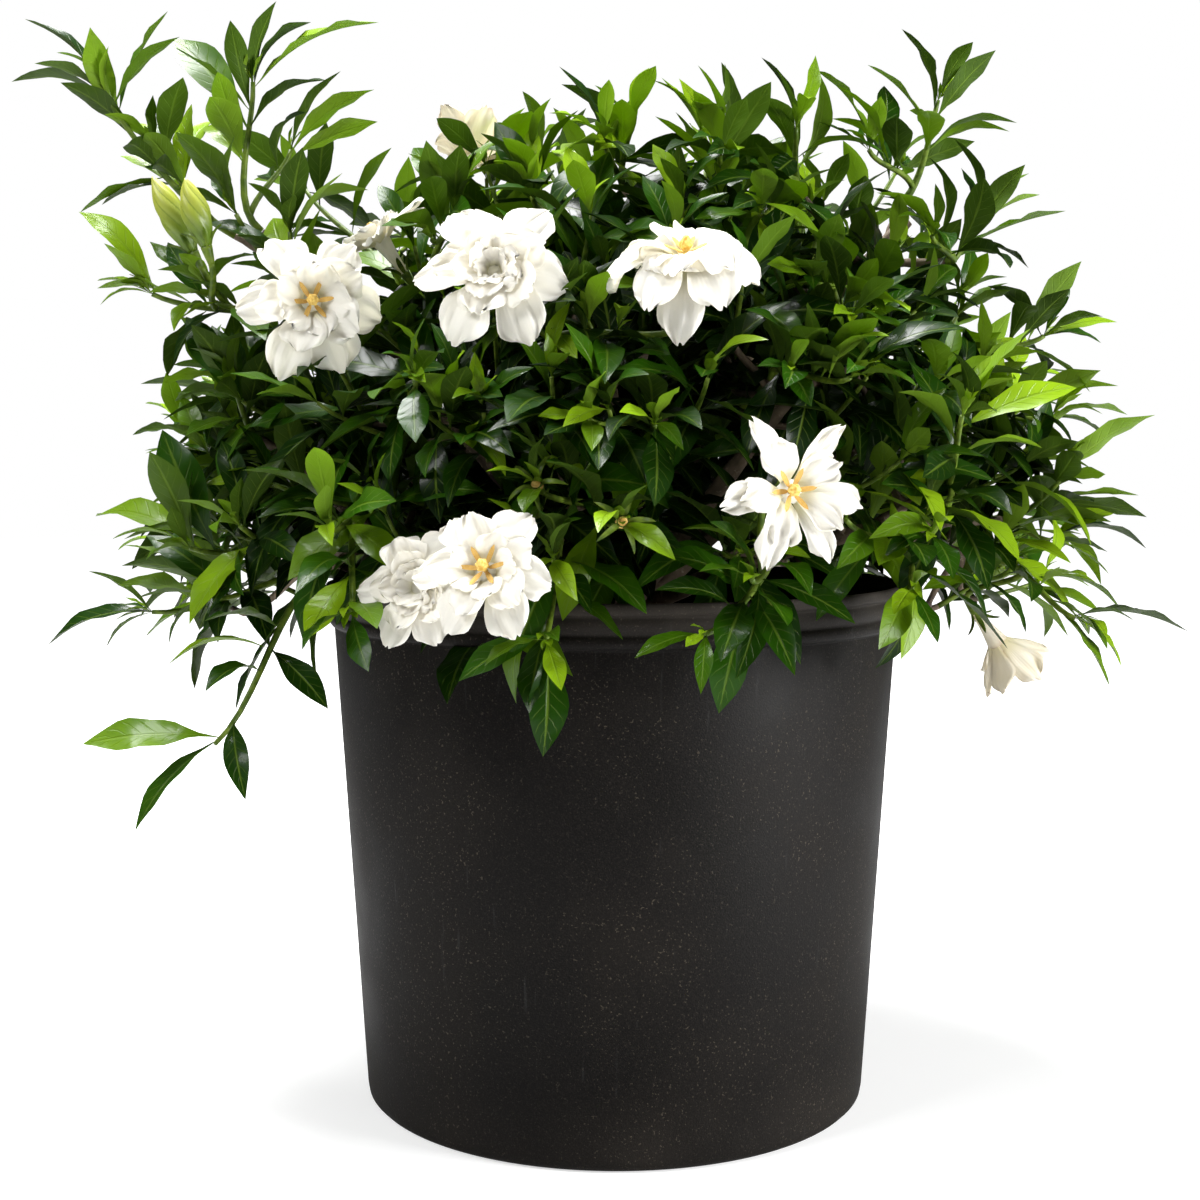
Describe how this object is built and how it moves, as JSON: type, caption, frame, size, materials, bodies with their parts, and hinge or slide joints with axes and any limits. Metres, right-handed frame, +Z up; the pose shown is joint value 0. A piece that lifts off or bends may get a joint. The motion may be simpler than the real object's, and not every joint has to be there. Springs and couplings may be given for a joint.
{
  "type": "potted gardenia",
  "caption": "Bushy evergreen flowering shrub in a tapered round nursery pot: woody limbs carry glossy pointed leaves, layered white blooms with yellow hearts, and long buds",
  "frame": {"origin": "middle of the pot's flat underside, on the floor that it stands on", "axes": "+Z up, +X to the right as seen from the front of the picture, +Y to the back"},
  "size_m": [0.5475, 0.4707, 0.5249],
  "materials": {
    "pot": "black moulded plastic, slightly dusty, soft sheen on the lip",
    "bark_mix": "damp composted bark in rough chips",
    "wood": "grey-brown bark, matte",
    "leaves": "glossy dark green with a pale midrib, paler and matte below",
    "petals": "soft waxy white, cream at the foot",
    "hearts": "matte yellow club and brown-yellow anthers"
  },
  "bodies": {
    "root": {"pot": "pot", "bark_mix": "bark_mix", "wood": "wood", "bloom_behind_petals": "petals", "bloom_far_left_heart": "hearts", "bloom_far_left_petals": "petals", "bloom_hanging_old_petals": "petals", "bloom_left_heart": "hearts", "bloom_left_petals": "petals", "bloom_lower_right_heart": "hearts", "bloom_lower_right_petals": "petals", "bloom_middle_petals": "petals", "bloom_right_heart": "hearts", "bloom_right_petals": "petals", "bloom_rim_bright_heart": "hearts", "bloom_rim_bright_petals": "petals", "bloom_rim_near_petals": "petals", "bloom_saddle_top_petals": "petals", "bud_left": "petals", "bud_right": "petals", "spray_back_left": "leaves", "spray_back_left_high": "leaves", "spray_back_low_left": "leaves", "spray_back_low_right": "leaves", "spray_back_mid": "leaves", "spray_back_mid_high": "leaves", "spray_back_right": "leaves", "spray_back_right_high": "leaves", "spray_front_high_right": "leaves", "spray_front_left": "leaves", "spray_front_mid": "leaves", "spray_front_mid_left": "leaves", "spray_front_right": "leaves", "spray_front_upper": "leaves", "spray_hanging": "leaves", "spray_left_arm": "leaves", "spray_left_bend": "leaves", "spray_left_low": "leaves", "spray_left_peak": "leaves", "spray_left_reach": "leaves", "spray_left_shoulder": "leaves", "spray_left_tip": "leaves", "spray_old_calyces": "leaves", "spray_right_front": "leaves", "spray_right_high": "leaves", "spray_right_low": "leaves", "spray_right_mid": "leaves", "spray_right_peak": "leaves", "spray_right_sweep": "leaves", "spray_right_top": "leaves", "spray_rim_far_right": "leaves", "spray_rim_right": "leaves", "spray_saddle": "leaves", "spray_top_left": "leaves", "spray_top_low_left": "leaves", "spray_top_mid": "leaves", "spray_top_right": "leaves", "spray_trailing": "leaves"}
  },
  "joints": []
}
